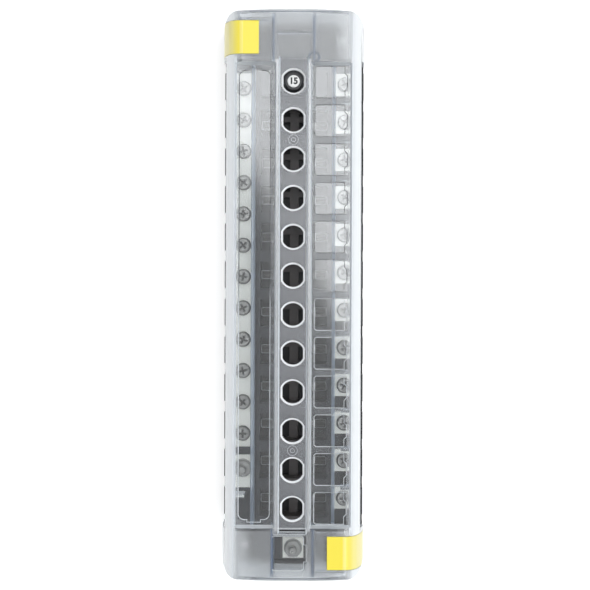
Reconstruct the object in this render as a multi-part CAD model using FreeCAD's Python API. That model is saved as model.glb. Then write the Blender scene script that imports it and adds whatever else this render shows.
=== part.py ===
import FreeCAD, Part
import math
import os

V = FreeCAD.Vector

# A surface-mount circuit breaker block: twelve push-to-reset breaker positions, a negative bus,
# one fitted breaker, a clear cover and two snap latches.
# Millimetres. +Z points out of the mounting face, +Y runs along the block, +X across it.
# The origin is the centre of the mounting face.

# How far a cut runs past a face, and how far shapes of one piece run into each other
overshoot = 1.0
overlap = 1.0

# Row of breaker positions
positions = 12
pitch = 22.86
breaker_end_gap = 0.6
breaker_side_gap = 0.4
end_zone = 31.24

# Base moulding
wire_ledge = 5.0
floor_thickness = 3.0
rim_thickness = 2.0
rim_height = 22.5
wire_notch_width = 6.7
wire_notch_depth = 7.0
wire_notch_taper = 1.6
ledge_height = 18.3
rest_height = 17.0
socket_floor = 12.0
socket_floor_thickness = 1.2
blade_slot_length = 7.1
blade_slot_width = 4.5
channel_gap = 0.3
socket_wall_height = 30.0
inner_wall = 2.0
rest_bar_width = 5.4
cross_bar_width = 3.4
cross_bar_offset = 3.4
well_margin = 0.8
end_wall = 5.2
end_deck_height = 8.0
end_rim_height = 14.0
core_depth = 7.0
core_rib = 2.6
core_wall = 1.5
mount_hole_setback = 12.0
mount_hole_inset = 12.4
mount_hole_diameter = 4.4
mount_boss_diameter = 11.0

# Cover
comb_setback = 0.3
waist_setback = 2.0
cover_top = 51.0
cover_wall = 2.0
shoulder_drop = 24.0
shoulder_side_radius = 46.0
shoulder_top_radius = 9.0
end_edge_radius = 2.6
corner_radius = 10.0
end_crown = 1.4
skirt_gap = 1.0
side_edge_height = 28.5
cover_clearance = 0.5

# Label panels, rails and windows in the cover's face
panel_depth = 3.5
shoulder_width = 6.8
panel_end_margin = 1.66
panel_draft = 1.4
rail_inner = 7.8
rail_outer = 11.1
rail_bevel = 0.8
rail_end_margin = 2.8
plate_depth = 1.5
hole_width = 12.0
hole_height = 13.3
hole_chamfer = 1.1
window_depth = 0.6
window_inner = 12.6
window_side = 3.2
window_half_height = 9.4
window_clip = 1.1
window_bump = 1.5
window_bump_half = 5.0
strip_inner = 13.5
strip_side = 1.5
strip_end_margin = 4.6
strip_corner = 3.6
strip_bump_half = 4.0
stud_window_left = -12.0
stud_window_right = 6.8
stud_window_start = 4.3
stud_window_length = 20.3
stud_window_corner = 1.8
slot_width = 15.8
slot_opening = 1.5
slot_start = 0.6

# Ribs under the cover
barrier_setback = 0.6
barrier_thickness = 2.0
barrier_depth = 12.0
end_rib_x = 12.0
end_rib_thickness = 1.9
divider_setback = 3.9
divider_thickness = 1.5
cross_rib_y = 17.5
cross_rib_thickness = 1.0
cross_rib_depth = 4.0
boss_diameter = 7.6
boss_bore = 4.6
boss_depth = 9.0
rib_seat = 1.5

# Latches
latch_width = 19.5
latch_start = 4.6
latch_thickness = 2.0
latch_reach = 20.5
latch_gap = 0.3
finger_reach = 14.7
hinge_setback = 2.0
hinge_height = 19.5
barrel_radius = 2.3
pin_diameter = 2.0
pin_clearance = 0.05
pin_seat = 0.01
lug_thickness = 3.0
bead_radius = 0.8
bead_inset = 3.0
bead_slack = 1.6
lug_rim_height = 14.5
lug_corner = 2.0

# Copper parts
sheet = 1.6
bus_gap = 4.5
bus_width = 12.5
bus_top_end = 3.2
bus_screw_pitch = 19.05
bus_screw_first = 9.4
bus_screws = 12
bus_tail = 12.0
bus_corner = 1.0
stud_offset = 21.1
strap_width = 4.6
strap_thickness = 1.8
strap_offset = 10.6
strap_gap = 0.2
supply_width = 8.0
supply_gap = 0.2
supply_end_wall = 1.0
plate_width = 13.4
leg_width = 8.0
bend_radius = 1.0
blade_inset = 3.4
clip_width = 6.0
clip_metal = 0.7
clip_grip = 0.05
clip_half_width = 2.0
clip_height = 10.5
clip_mouth = 1.6
clip_flare = 1.6
clip_pinch = 1.0
stud_plate_width = 12.5
stud_plate_half = 6.3
stud_inset = 13.7
pedestal_margin = 1.0
pedestal_side = 3.5
pedestal_wall = 1.5

# Screws, studs and the small chamfer on turned pieces
edge = 0.5
screw_head_diameter = 9.2
screw_head_height = 3.2
screw_shank_diameter = 4.1
screw_length = 8.0
screw_hole_gap = 0.3
screw_shift = 1.5
screw_head_taper = 0.7
stud_diameter = 4.8
stud_head_diameter = 9.0
stud_head_height = 2.2
stud_length = 12.5
washer_diameter = 11.0
washer_thickness = 1.0
nut_across_flats = 9.5
nut_height = 3.2
nut_chamfer_height = 0.6
nut_chamfer_width = 0.9

# Breaker
fitted_position = 0
case_half_length = 19.4
case_half_width = 7.7
case_height = 22.5
case_wall = 1.5
case_corner = 1.5
bushing_diameter = 10.7
bushing_top = 49.6
bushing_flange_diameter = 13.0
bushing_flange = 1.2
bushing_neck = 9.4
button_diameter = 7.2
button_gap = 0.05
button_proud = 0.6
button_travel = 4.5
button_flange_diameter = 9.0
button_flange = 1.2
stem_diameter = 3.0
stem_gap = 0.2
travel_gap = 0.3
shelf_height = 26.8
shelf_thickness = 1.2
shelf_half_length = 6.0
spring_wire = 0.5
spring_diameter = 6.4
spring_turns = 3
blade_width = 6.35
blade_thickness = 0.8
blade_length = 10.8
blade_corner = 1.0
arm_gap = 1.0
arm_thickness = 2.0
arm_corner = 0.6
bimetal_thickness = 0.6
bimetal_width = 5.0
bimetal_corner = 1.2
bimetal_seat = 1.0
contact_x = 8.0
contact_diameter = 3.6
contact_thickness = 1.0
rivet_diameter = 2.6
rivet_side = 4.4
rivet_inset = 5.0
low_rivet_x = 2.5
low_rivet_inset = 3.6
rivet_boss_diameter = 5.0
rivet_gap = 0.02

# Places worked out from the sizes above
row_half = positions * pitch / 2
cover_half = row_half + end_zone
socket_half = case_half_length + breaker_end_gap
socket_width = 2 * (case_half_width + breaker_side_gap)
bus_inner = socket_half + bus_gap
base_half_width = bus_inner + bus_width + wire_ledge
cover_half_width = base_half_width + comb_setback
waist_half_width = cover_half_width - waist_setback
panel_half_width = waist_half_width - shoulder_width
window_length = panel_half_width - window_side - window_inner
strip_length = panel_half_width - strip_side - strip_inner
barrier_x = bus_inner - barrier_setback
divider_inner = bus_inner + divider_setback
hinge_x = base_half_width - hinge_setback
mount_hole_x = base_half_width - mount_hole_setback
base_inset = cover_wall + cover_clearance
base_side = cover_half_width - base_inset
panel_half = row_half - panel_end_margin
panel_height = cover_top - panel_depth
plate_height = cover_top - plate_depth
panel_under = panel_height - cover_wall
plate_under = plate_height - cover_wall
end_wall_half = row_half - pitch / 2 + socket_width / 2 + end_wall
latch_middle = row_half + latch_start + latch_width / 2
latch_low = latch_middle - latch_width / 2
latch_high = latch_middle + latch_width / 2
lug_low = latch_low - latch_gap - lug_thickness
lug_high = latch_high + latch_gap + lug_thickness
waist_half = lug_low + latch_gap
metal_top = ledge_height + sheet
screw_x = bus_inner + bus_width / 2
leg_outer = bus_inner + sheet
riser_x = -stud_plate_half
bus_high = row_half - bus_top_end
stud_y = bus_high - bus_screw_first + bus_screw_pitch - stud_offset - bus_screws * bus_screw_pitch
bus_low = stud_y - bus_tail
strap_y = stud_y + strap_offset
supply_height = floor_thickness + sheet
supply_end = row_half - pitch / 2 + socket_width / 2 - supply_end_wall
case_bottom = rest_height
blade_x = case_half_length - blade_inset
rivet_x = case_half_length - rivet_side
case_top = case_bottom + case_height
arm_low = case_bottom + case_wall + arm_gap
arm_high = arm_low + arm_thickness
contact_level = arm_high + 2 * contact_thickness
main_stud_y = -(cover_half - stud_inset)


def box(x0, x1, y0, y1, z0, z1):
    """A block between two corners."""
    return Part.makeBox(x1 - x0, y1 - y0, z1 - z0, V(x0, y0, z0))


def rod(diameter, low, high, x=0.0, y=0.0):
    """An upright round rod."""
    return Part.makeCylinder(diameter / 2, high - low, V(x, y, low))


def cross_rod(diameter, low, high, x, z):
    """A round rod along Y."""
    return Part.makeCylinder(diameter / 2, high - low, V(x, low, z), V(0, 1, 0))


def side(u, v):
    return V(u, 0, v)


def front(u, v):
    return V(0, u, v)


def outline(points, place):
    """A closed face through points (u, v, corner radius), laid in a plane by place."""
    edges = []
    corners = []
    count = len(points)
    for i in range(count):
        before = points[i - 1]
        here = points[i]
        after = points[(i + 1) % count]
        back = V(before[0] - here[0], before[1] - here[1], 0).normalize()
        ahead = V(after[0] - here[0], after[1] - here[1], 0).normalize()
        point = V(here[0], here[1], 0)
        if here[2] > 0:
            half = back.getAngle(ahead) / 2
            bisector = (back + ahead).normalize()
            reach = here[2] / math.tan(half)
            middle = point + bisector * (here[2] / math.sin(half) - here[2])
            corners.append((point + back * reach, middle, point + ahead * reach))
        else:
            corners.append((point, None, point))
    for i in range(count):
        start, middle, end = [place(p.x, p.y) if p else None for p in corners[i]]
        following = place(corners[(i + 1) % count][0].x, corners[(i + 1) % count][0].y)
        if middle:
            edges.append(Part.Arc(start, middle, end).toShape())
        if end.distanceToPoint(following) > 1e-6:
            edges.append(Part.LineSegment(end, following).toShape())
    return Part.Face(Part.Wire(edges))


def strip(path, thickness, place):
    """A bent strip's section: path holds (u, v, bend radius) on one side, the metal lies to its left."""
    left = []
    for i, (u, v, radius) in enumerate(path):
        here = V(u, v, 0)
        directions = []
        if i > 0:
            directions.append((here - V(path[i - 1][0], path[i - 1][1], 0)).normalize())
        if i < len(path) - 1:
            directions.append((V(path[i + 1][0], path[i + 1][1], 0) - here).normalize())
        normals = [V(-d.y, d.x, 0) for d in directions]
        total = normals[0] + normals[-1]
        shift = total * (thickness * 2 / total.dot(total))
        turn = directions[0].cross(directions[-1]).z
        left.append((u + shift.x, v + shift.y, radius, turn))
    right_side = []
    left_side = []
    for (u, v, radius), (x, y, same, turn) in zip(path, left):
        right_side.append((u, v, radius + thickness if turn > 0 and radius > 0 else radius))
        left_side.append((x, y, radius + thickness if turn < 0 and radius > 0 else radius))
    return outline(right_side + left_side[::-1], place)


def rounded_plate(x0, x1, y0, y1, radius, low, high):
    """A plate with rounded corners, or square ones where radius is 0."""
    corners = [(x0, y0, radius), (x1, y0, radius), (x1, y1, radius), (x0, y1, radius)]
    return outline(corners, lambda u, v: V(u, v, low)).extrude(V(0, 0, high - low))


def shank(diameter, low, high, x=0.0, y=0.0):
    """An upright rod with eight flats, which stands for a threaded shank or its hole."""
    radius = diameter / 2
    turns = [math.radians(45 * i) for i in range(8)]
    corners = [(x + radius * math.cos(t), y + radius * math.sin(t), 0) for t in turns]
    return outline(corners, lambda u, v: V(u, v, low)).extrude(V(0, 0, high - low))


def turned(points, x=0.0, y=0.0):
    """A solid of revolution about an upright axis, from a half section of (radius, height, corner)."""
    solid = outline(points, side).revolve(V(0, 0, 0), V(0, 0, 1), 360)
    solid.translate(V(x, y, 0))
    return solid


def opposite(shape):
    """The same shape turned half a turn about the upright axis."""
    copy = shape.copy()
    copy.rotate(V(0, 0, 0), V(0, 0, 1), 180)
    return copy


def position_y(index):
    return row_half - pitch * (index + 0.5)


def write(name, shape):
    shape.exportStep("parts/" + name + ".step")


def plan_face(inset):
    """The cover's plan: straight sides, round corners and gently crowned ends."""
    x = cover_half_width - inset
    y = cover_half - inset
    radius = corner_radius - inset
    corner_y = y - end_crown
    slope = radius * math.sqrt(0.5)
    edges = []
    for way in (1, -1):
        low = V(way * x, way * (corner_y - radius), 0)
        middle = V(way * (x - radius + slope), way * (corner_y - radius + slope), 0)
        high = V(way * (x - radius), way * corner_y, 0)
        far_middle = V(-middle.x, middle.y, 0)
        far_high = V(-high.x, high.y, 0)
        far_low = V(-low.x, low.y, 0)
        edges.append(Part.Arc(low, middle, high).toShape())
        edges.append(Part.Arc(high, V(0, way * y, 0), far_high).toShape())
        edges.append(Part.Arc(far_high, far_middle, far_low).toShape())
        edges.append(Part.LineSegment(far_low, V(-way * x, -way * (corner_y - radius), 0)).toShape())
    return Part.Face(Part.Wire(edges))


def shoulder_section(inset):
    """The cover's cross-section: upright sides, shoulders of two arcs each and a flat crown."""
    spring = cover_top - shoulder_drop
    big_x = cover_half_width - shoulder_side_radius
    small_z = cover_top - shoulder_top_radius
    between = shoulder_side_radius - shoulder_top_radius
    rise = small_z - spring
    small_x = big_x + math.sqrt(between ** 2 - rise ** 2)
    turn = math.asin(rise / between)
    side_radius = shoulder_side_radius - inset
    top_radius = shoulder_top_radius - inset

    def on_side(angle):
        return V(big_x + side_radius * math.cos(angle), 0, spring + side_radius * math.sin(angle))

    def on_top(angle):
        return V(small_x + top_radius * math.cos(angle), 0, small_z + top_radius * math.sin(angle))

    right = [V(cover_half_width - inset, 0, 0), on_side(0), on_side(turn / 2), on_side(turn)]
    right += [on_top((turn + math.pi / 2) / 2), on_top(math.pi / 2)]
    left = [V(-p.x, 0, p.z) for p in right]
    edges = []
    for p in (right, left):
        edges.append(Part.LineSegment(p[0], p[1]).toShape())
        edges.append(Part.Arc(p[1], p[2], p[3]).toShape())
        edges.append(Part.Arc(p[3], p[4], p[5]).toShape())
    edges.append(Part.LineSegment(right[5], left[5]).toShape())
    edges.append(Part.LineSegment(right[0], left[0]).toShape())
    return Part.Face(Part.Wire(Part.__sortEdges__(edges)))


def cover_form(inset, waisted=True):
    """The cover's rounded block, drawn in by inset on every side but the bottom, with its sides
    set in along the wire combs."""
    half_length = cover_half - inset
    top = cover_top - inset
    radius = max(end_edge_radius - inset, 0)
    plan = plan_face(inset).extrude(V(0, 0, top))
    section = shoulder_section(inset)
    section.translate(V(0, -half_length, 0))
    section = section.extrude(V(0, 2 * half_length, 0))
    ends = [(-half_length, 0, 0), (half_length, 0, 0)]
    ends += [(half_length, top, radius), (-half_length, top, radius)]
    end_block = outline(ends, front)
    end_block.translate(V(-cover_half_width, 0, 0))
    end_block = end_block.extrude(V(2 * cover_half_width, 0, 0))
    form = plan.common(section).common(end_block)
    if not waisted:
        return form
    waist = box(waist_half_width - inset, cover_half_width, -waist_half - inset, waist_half + inset,
                0, cover_top)
    return form.cut([waist, opposite(waist)])


def panel_recess():
    """The sunken label panels each side of the rails, with sloped edges."""
    low = [V(x, y, panel_height) for x, y in panel_corners(0)]
    high = [V(x, y, cover_top) for x, y in panel_corners(panel_draft)]
    wires = [Part.makePolygon(loop + [loop[0]]) for loop in (low, high)]
    recess = Part.makeLoft(wires, True, True)
    rails = outline([
        (-rail_outer, panel_height, 0), (rail_outer, panel_height, 0),
        (rail_outer - rail_bevel, cover_top, 0), (-rail_outer + rail_bevel, cover_top, 0),
    ], side)
    rails.translate(V(0, -cover_half, 0))
    return recess.cut(rails.extrude(V(0, 2 * cover_half, 0)))


def panel_corners(grow):
    x = panel_half_width + grow
    y = panel_half + grow
    return [(-x, -y), (x, -y), (x, y), (-x, y)]


def plate_channel():
    """The long channel between the rails that the breaker holes stand in."""
    channel = outline([
        (-rail_inner, plate_height, 0), (rail_inner, plate_height, 0),
        (rail_inner + rail_bevel, cover_top, 0), (-rail_inner - rail_bevel, cover_top, 0),
    ], side)
    half = row_half + rail_end_margin
    channel.translate(V(0, -half, 0))
    return channel.extrude(V(0, 2 * half, 0))


def button_hole(low, high):
    """A round hole with flat sides, as a prism."""
    radius = hole_height / 2
    half = hole_width / 2
    disc = Part.makeCylinder(radius, high - low, V(0, 0, low))
    return disc.common(box(-half, half, -radius, radius, low, high))


def button_cut():
    """A breaker hole with its chamfered rim."""
    through = button_hole(plate_under - overshoot, plate_height)
    radius = hole_height / 2
    cone = Part.makeCone(radius, radius + hole_chamfer, hole_chamfer, V(0, 0, plate_height - hole_chamfer))
    half = hole_width / 2
    flats = outline([
        (-half, plate_height - hole_chamfer, 0), (half, plate_height - hole_chamfer, 0),
        (half + hole_chamfer, plate_height, 0), (-half - hole_chamfer, plate_height, 0),
    ], side)
    flats.translate(V(0, -hole_height, 0))
    return through.fuse(cone.common(flats.extrude(V(0, 2 * hole_height, 0))))


def label_window():
    """The polished recess for one circuit's label, with a finger bump on its outer side."""
    low = panel_height - window_depth
    outer = window_inner + window_length
    inset = window_half_height
    clip = window_clip
    bump = outer + window_bump
    half = window_bump_half
    corners = [(window_inner, clip - inset), (window_inner + clip, -inset), (outer, -inset),
               (outer, -half), (bump, -half + window_bump), (bump, half - window_bump), (outer, half),
               (outer, inset), (window_inner + clip, inset), (window_inner, inset - clip)]
    face = outline([(x, y, 0) for x, y in corners], lambda u, v: V(u, v, low))
    return face.extrude(V(0, 0, cover_top - low))


def strip_window():
    """The one long polished recess over the negative bus."""
    low = panel_height - window_depth
    outer = strip_inner + strip_length
    half = row_half - strip_end_margin
    plate = rounded_plate(-outer, -strip_inner, -half, half, strip_corner, low, cover_top)
    middle = -(strip_inner + strip_length / 2)
    bump = box(middle - strip_bump_half, middle + strip_bump_half, -half - window_bump,
               half + window_bump, low, cover_top)
    return plate.fuse(bump)


def stud_window():
    """The polished recess over the supply stud."""
    high = -(row_half + stud_window_start)
    low = high - stud_window_length
    depth = cover_top - window_depth
    plate = rounded_plate(stud_window_left, stud_window_right, low, high, stud_window_corner,
                          depth, cover_top)
    middle = (low + high) / 2
    bump = box(0, stud_window_right + window_bump, middle - window_bump_half,
               middle + window_bump_half, depth, cover_top)
    return plate.fuse(bump)


def latch_band(depth_low, depth_high, gap, reach):
    """A band of the cover's skin between two depths, over one latch's width."""
    band = cover_form(depth_low, False).cut(cover_form(depth_high, False))
    low = latch_low - gap
    high = latch_high + gap
    return band.common(box(-cover_half_width, -reach, low, high, 0, cover_top))


def bead(radius, slack):
    """The snap bead along a latch's inner end, or its groove when slack is given."""
    x = -latch_reach - bead_inset
    z = cover_top - latch_thickness
    low = latch_low + bead_inset - slack / 2
    high = latch_high - bead_inset + slack / 2
    shape = cross_rod(2 * radius, low, high, x, z)
    if slack:
        shape = shape.fuse(cross_rod(2 * radius, low, high, x - slack, z))
        shape = shape.fuse(box(x - slack, x, low, high, z - radius, z))
    return shape


def cover():
    """The clear cover: a thin moulded shell with sunken panels, rails, holes, windows and ribs."""
    recess_depth = latch_thickness + latch_gap
    hollow = cover_form(cover_wall)
    ceiling = box(-cover_half_width, cover_half_width, -panel_half - cover_wall,
                  panel_half + cover_wall, panel_under, cover_top)
    hollow = hollow.cut(ceiling)
    channel_half = rail_outer - cover_wall
    hollow = hollow.fuse(box(-channel_half, channel_half, -row_half - rail_end_margin,
                             row_half + rail_end_margin, panel_under - overlap, plate_under))
    backing = latch_band(0, recess_depth + cover_wall, cover_wall, finger_reach - cover_wall)
    backing = backing.common(box(-cover_half_width, 0, 0, cover_half, side_edge_height, cover_top))
    hollow = hollow.cut(backing).cut(opposite(backing))
    shell = cover_form(0).cut(hollow)
    cuts = [panel_recess(), plate_channel(), strip_window(), stud_window()]
    trough = latch_band(0, recess_depth, latch_gap, finger_reach)
    groove = bead(bead_radius + latch_gap, bead_slack)
    for shape in (trough, groove):
        cuts += [shape, opposite(shape)]
    for index in range(positions):
        for shape in (button_cut(), label_window()):
            shape.translate(V(0, position_y(index), 0))
            cuts.append(shape)
    slot_y = -(row_half + slot_start)
    cuts.append(box(-slot_width / 2, slot_width / 2, slot_y - slot_opening, slot_y,
                    plate_under - overshoot, cover_top))
    lug_face = hinge_x - barrel_radius - cover_clearance
    side_opening = box(lug_face, cover_half_width, -lug_high - latch_gap, waist_half, 0, side_edge_height)
    cuts += [side_opening, opposite(side_opening)]
    cuts.append(box(-cover_half_width, cover_half_width, -cover_half, cover_half, 0, skirt_gap))
    shell = shell.cut(cuts)
    return shell.fuse([rib.common(cover_form(cover_wall / 2)) for rib in cover_ribs()]).removeSplitter()


def cover_ribs():
    """The ribs and the boss that hang from the underside of the cover."""
    ribs = []
    half = barrier_thickness / 2
    low = panel_under - barrier_depth
    for x in (-barrier_x, barrier_x):
        ribs.append(box(x - half, x + half, -panel_half, panel_half, low, panel_height - window_depth))
    half = end_rib_thickness / 2
    for x in (-end_rib_x, end_rib_x):
        for y0, y1 in ((-cover_half, -end_wall_half + rib_seat), (end_wall_half - rib_seat, cover_half)):
            ribs.append(box(x - half, x + half, y0, y1, socket_wall_height, panel_height - window_depth))
    half = divider_thickness / 2
    for index in range(positions - 1):
        y = position_y(index) - pitch / 2
        ribs.append(box(divider_inner, cover_half_width, y - half, y + half, low, panel_height - window_depth))
    ribs.append(box(-cover_half_width, -divider_inner, bus_low - divider_thickness, bus_low,
                    low, panel_height - window_depth))
    y = row_half + cross_rib_y
    half = cross_rib_thickness / 2
    ribs.append(box(-end_rib_x, end_rib_x, y - half, y + half, plate_under - cross_rib_depth, plate_height))
    boss_y = row_half + rail_end_margin
    under = cover_top - cover_wall
    boss = rod(boss_diameter, under - boss_depth, under + cover_wall / 2, end_rib_x, boss_y)
    ribs.append(boss.cut(rod(boss_bore, under - boss_depth, under, end_rib_x, boss_y)))
    return ribs


def latch():
    """One snap latch, at the upper left: a curved strip over the shoulder, hinged low on the base."""
    strap = latch_band(0, latch_thickness, 0, latch_reach)
    strap = strap.common(box(-cover_half_width, 0, latch_low, latch_high, hinge_height, cover_top))
    barrel = cross_rod(2 * barrel_radius, latch_low, latch_high, -hinge_x, hinge_height)
    snap = bead(bead_radius, 0).common(cover_form(latch_thickness / 2))
    body = strap.fuse([barrel, snap])
    bore = cross_rod(pin_diameter + 2 * pin_clearance, latch_low, latch_high, -hinge_x, hinge_height)
    return body.cut(bore).removeSplitter()


def latch_pin():
    return cross_rod(pin_diameter, lug_low, lug_high, -hinge_x, hinge_height)


def end_block():
    """The base's upper end beyond the sockets: a deck with a low rim and two mounting bosses."""
    low = end_wall_half - overlap
    deck = plan_face(base_inset).extrude(V(0, 0, floor_thickness))
    rim = plan_face(base_inset).extrude(V(0, 0, end_rim_height))
    rim = rim.cut(plan_face(base_inset + rim_thickness).extrude(V(0, 0, end_rim_height)))
    y = cover_half - mount_hole_inset
    bosses = [rod(mount_boss_diameter, 0, end_deck_height, x, y) for x in (-mount_hole_x, mount_hole_x)]
    holes = [rod(mount_hole_diameter, 0, end_deck_height, x, y) for x in (-mount_hole_x, mount_hole_x)]
    notch = box(waist_half_width - base_inset, base_side, low, waist_half + base_inset, 0, end_rim_height)
    mirrored = box(-base_side, base_inset - waist_half_width, low, waist_half + base_inset, 0, end_rim_height)
    block = deck.fuse([rim] + bosses).cut(holes + [notch, mirrored])
    return block.common(box(-base_side, base_side, low, cover_half, 0, end_rim_height))


def comb():
    """The right side rim of the base, with a notch for each wire between the positions."""
    outer = base_half_width
    rim = box(outer - rim_thickness, outer, -lug_low, lug_low, 0, rim_height)
    bottom = rim_height - wire_notch_depth
    half = wire_notch_width / 2
    taper = wire_notch_taper
    notches = []
    for index in range(positions + 1):
        y = row_half - pitch * index
        notch = outline([
            (y - half + taper, bottom, 0), (y + half - taper, bottom, 0), (y + half, bottom + taper, 0),
            (y + half, rim_height, 0), (y - half, rim_height, 0), (y - half, bottom + taper, 0),
        ], front)
        notch.translate(V(outer - rim_thickness, 0, 0))
        notches.append(notch.extrude(V(rim_thickness, 0, 0)))
    return rim.cut(notches)


def latch_lugs():
    """The two lugs and the low rim that carry one latch, at the upper left."""
    parts = [box(-base_half_width, -base_side, lug_low, lug_high, 0, lug_rim_height)]
    top = hinge_height + barrel_radius
    for y in (lug_low, latch_high + latch_gap):
        ear = outline([
            (-base_half_width, 0, 0), (-hinge_x + barrel_radius, 0, 0),
            (-hinge_x + barrel_radius, top, lug_corner), (-base_half_width, top, lug_corner),
        ], side)
        ear.translate(V(0, y, 0))
        parts.append(ear.extrude(V(0, lug_thickness, 0)))
    bore = cross_rod(pin_diameter + 2 * pin_seat, lug_low, lug_high, -hinge_x, hinge_height)
    return parts[0].fuse(parts[1:]).cut(bore)


def socket():
    """The space for one breaker, with its rest bars left standing and its two blade slots."""
    half_y = socket_width / 2
    space = box(-socket_half, socket_half, -half_y, half_y, socket_floor, socket_wall_height)
    well = blade_x - blade_width / 2 - well_margin
    bar = box(-rest_bar_width / 2, rest_bar_width / 2, -half_y, half_y, 0, rest_height)
    cross = box(-well, well, cross_bar_offset - cross_bar_width / 2,
                cross_bar_offset + cross_bar_width / 2, 0, rest_height)
    space = space.cut([bar, cross])
    slots = []
    for x in (-blade_x, blade_x):
        slots.append(box(x - blade_slot_length / 2, x + blade_slot_length / 2,
                         -blade_slot_width / 2, blade_slot_width / 2, 0, socket_floor))
    return space.fuse(slots)


def clip_cavity(x):
    """The space under the socket floor that one blade clip is pushed into from the back."""
    half_x = clip_width / 2 + channel_gap
    half_y = clip_half_width + clip_metal + channel_gap
    return box(x - half_x, x + half_x, -half_y, half_y, 0, socket_floor - socket_floor_thickness)


def terminal_channel():
    """The channel in the back of the base for a load terminal's foot, and the slot for its leg."""
    half_y = leg_width / 2 + channel_gap
    outer = leg_outer + channel_gap
    foot = box(blade_x - clip_width / 2 - channel_gap, outer, -half_y, half_y, 0, supply_height + channel_gap)
    return foot.fuse(box(bus_inner - channel_gap, outer, -half_y, half_y, 0, ledge_height))


def supply_channel():
    """The long channel in the back for the positive bus, and the slot for its riser to the stud."""
    half = supply_width / 2 + supply_gap
    half_y = stud_plate_width / 2 + channel_gap
    top = supply_height + channel_gap
    run = box(-blade_x - half, -blade_x + half, main_stud_y - half_y, supply_end, 0, top)
    fold = box(-blade_x - half, riser_x + sheet + channel_gap, main_stud_y - half_y, main_stud_y + half_y,
               0, top)
    slot = box(riser_x - channel_gap, riser_x + sheet + channel_gap, main_stud_y - half_y,
               main_stud_y + half_y, 0, ledge_height)
    return run.fuse([fold, slot])


def base():
    """The black base: floor, ledges, socket row, combs, lugs, stud pedestal and mounting ends."""
    wall = socket_half + inner_wall
    ledge = base_half_width - rim_thickness / 2
    parts = [box(-base_half_width, base_half_width, -lug_low, lug_low, 0, floor_thickness),
             box(-ledge, ledge, -lug_low, lug_low, 0, ledge_height),
             box(-wall, wall, -end_wall_half, end_wall_half, 0, socket_wall_height)]
    for shape in (comb(), latch_lugs(), end_block()):
        parts += [shape, opposite(shape)]
    parts += [pedestal(), bus_strap()]
    body = parts[0].fuse(parts[1:])
    return body.cut(base_cuts()).removeSplitter()


def pedestal():
    """The block that carries the supply stud at the lower end."""
    low = main_stud_y - stud_plate_width / 2 - pedestal_margin
    left = -blade_x - supply_width / 2 - supply_gap - pedestal_wall
    return box(left, stud_plate_half + pedestal_side, low, -end_wall_half + overlap, 0, ledge_height)


def bus_strap():
    """The moulded bridge that holds the negative bus down."""
    low = metal_top + strap_gap
    inner = -socket_half
    outer = -base_half_width + rim_thickness / 2
    bridge = box(outer, inner, strap_y - strap_width / 2, strap_y + strap_width / 2,
                 ledge_height, low + strap_thickness)
    gap = strap_gap
    return bridge.cut(box(-bus_inner - bus_width - gap, -bus_inner + gap, strap_y - strap_width,
                          strap_y + strap_width, ledge_height, low))


def base_cuts():
    """Everything taken out of the base: sockets, channels, screw holes and cores."""
    cuts = []
    for index in range(positions):
        y = position_y(index)
        for shape in (socket(), clip_cavity(-blade_x), clip_cavity(blade_x), terminal_channel()):
            shape.translate(V(0, y, 0))
            cuts.append(shape)
        half = (pitch - core_rib) / 2
        inner = leg_outer + channel_gap + core_wall
        outer = base_half_width - rim_thickness
        for x0, x1 in ((inner, outer), (-outer, -inner)):
            cuts.append(box(x0, x1, y - half, y + half, 0, core_depth))
    half = screw_shank_diameter / 2 + screw_hole_gap
    low = metal_top - screw_length - overshoot
    ends = (bus_screw_y(bus_screws - 1) - half, bus_screw_y(0) + half)
    cuts.append(box(-screw_x - half, -screw_x + half, ends[0], ends[1], low, ledge_height))
    ends = (position_y(positions - 1) + screw_shift - half, position_y(0) + screw_shift + half)
    cuts.append(box(screw_x - half, screw_x + half, ends[0], ends[1], low, ledge_height))
    recess = stud_head_height + screw_hole_gap
    for x, y in ((-screw_x, stud_y), (0, main_stud_y)):
        cuts.append(rod(stud_head_diameter + 2 * screw_hole_gap, ledge_height - recess, ledge_height, x, y))
    cuts.append(supply_channel())
    return cuts


def bus_screw_y(index):
    return bus_high - bus_screw_first - bus_screw_pitch * index


def negative_bus():
    """The negative bus bar on the left ledge, drilled for its screws and its stud."""
    bar = rounded_plate(-bus_inner - bus_width, -bus_inner, bus_low, bus_high, bus_corner,
                        ledge_height, metal_top)
    holes = [shank(screw_shank_diameter, ledge_height, metal_top, -screw_x, bus_screw_y(i))
             for i in range(bus_screws)]
    holes.append(rod(stud_diameter, ledge_height, metal_top, -screw_x, stud_y))
    return bar.cut(holes)


def supply_bus():
    """The positive bus: a strip under the line clips, folded up at its end to carry the supply stud."""
    half = supply_width / 2
    low = main_stud_y - stud_plate_width / 2
    high = main_stud_y + stud_plate_width / 2
    bar = box(-blade_x - half, -blade_x + half, low, supply_end - supply_gap,
              floor_thickness, supply_height)
    riser = riser_x + sheet
    path = [(-blade_x - half, floor_thickness, 0), (riser, floor_thickness, bend_radius),
            (riser, ledge_height, 0), (stud_plate_half, ledge_height, 0)]
    fold = strip(path, sheet, side)
    fold.translate(V(0, low, 0))
    fold = fold.extrude(V(0, high - low, 0))
    return bar.fuse(fold).cut(rod(stud_diameter, ledge_height, metal_top, 0, main_stud_y)).removeSplitter()


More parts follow.
